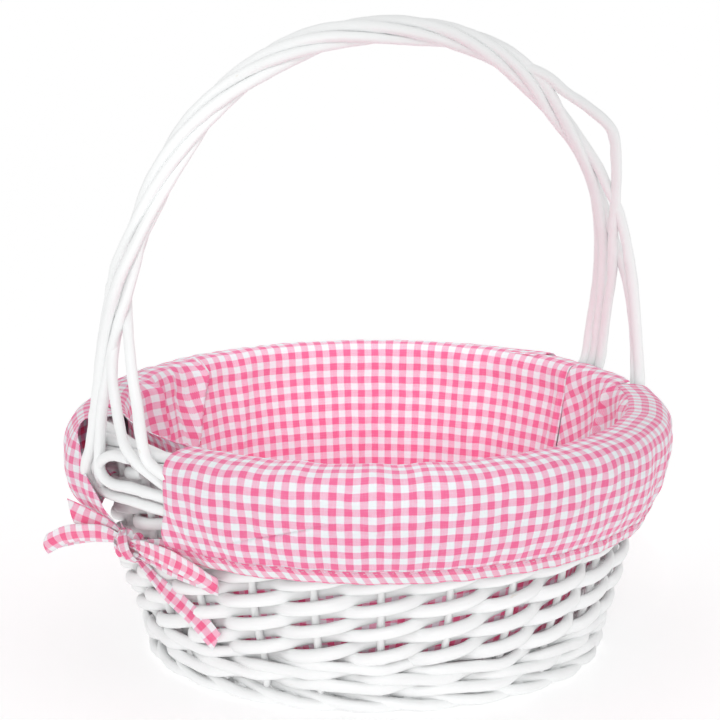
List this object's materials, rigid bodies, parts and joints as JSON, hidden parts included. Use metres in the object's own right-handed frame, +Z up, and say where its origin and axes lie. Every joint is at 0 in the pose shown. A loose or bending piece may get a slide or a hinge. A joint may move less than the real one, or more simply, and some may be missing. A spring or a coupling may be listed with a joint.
{
  "type": "wicker picnic basket",
  "caption": "Round painted willow picnic basket with a fixed roped willow handle and a gingham cloth liner that turns over the rim and ties with ribbon bows.",
  "frame": {"origin": "on the ground under the centre of the basket", "axes": "+Z up. The handle's arch stands in the XZ plane, with its feet at -X and +X, and the front of the basket faces -Y"},
  "size_m": [0.3372, 0.304, 0.3248],
  "materials": {
    "willow": "white painted willow rods, satin",
    "stake_willow": "white painted willow sticks, satin",
    "gingham": "pink and white woven gingham cotton, matt",
    "gingham_trim": "pink and white gingham hem and ribbon, matt"
  },
  "bodies": {
    "root": {"base_sticks_lower": "stake_willow", "base_sticks_upper": "stake_willow", "base_weave_lower": "willow", "base_weave_upper": "willow", "foot_rods": "willow", "stakes": "stake_willow", "wale_rod_1": "willow", "wale_rod_2": "willow", "wale_rod_3": "willow", "rand_rod_01": "willow", "rand_rod_02": "willow", "rand_rod_03": "willow", "rand_rod_04": "willow", "rand_rod_05": "willow", "rand_rod_06": "willow", "rand_rod_07": "willow", "rand_rod_08": "willow", "rand_rod_09": "willow", "rand_rod_10": "willow", "rand_rod_11": "willow", "rand_rod_12": "willow", "rand_rod_13": "willow", "rand_rod_14": "willow", "rand_rod_15": "willow", "rand_rod_16": "willow", "rand_rod_17": "willow", "rand_rod_18": "willow", "rand_rod_19": "willow", "rand_rod_20": "willow", "rand_rod_21": "willow", "rand_rod_22": "willow", "rand_rod_23": "willow", "rand_rod_24": "willow", "border_rods": "willow", "handle_rod_1": "willow", "handle_rod_2": "willow", "handle_rod_3": "willow", "handle_rod_4": "willow", "handle_rod_5": "willow", "liner_floor": "gingham", "liner_wall_front": "gingham", "liner_wall_back": "gingham", "cuff_front": "gingham", "cuff_back": "gingham", "hem_front": "gingham_trim", "hem_back": "gingham_trim", "tie_left_front": "gingham_trim", "tie_left_back": "gingham_trim", "tie_right_front": "gingham_trim", "tie_right_back": "gingham_trim"}
  },
  "joints": []
}
